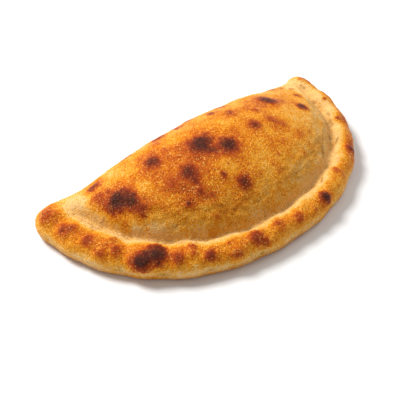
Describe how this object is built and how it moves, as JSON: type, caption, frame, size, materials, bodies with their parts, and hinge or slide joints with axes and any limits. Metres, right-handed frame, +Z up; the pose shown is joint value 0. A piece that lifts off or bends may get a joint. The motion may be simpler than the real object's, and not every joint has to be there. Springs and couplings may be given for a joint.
{
  "type": "calzone",
  "caption": "Whole baked calzone: folded half-round of browned dough with a high filled dome, a rolled sealed rim and a flat underside.",
  "frame": {"origin": "middle of the bounding box on the flat underside", "axes": "+X along the straight fold from the left tip to the right tip, +Y from the rolled rim to the fold, +Z up"},
  "size_m": [0.253, 0.1272, 0.049],
  "materials": {
    "crust": "baked pizza dough: golden orange, paler in the crease and low on the rim, with dark browned blisters"
  },
  "bodies": {
    "root": {"calzone": "crust"}
  },
  "joints": []
}
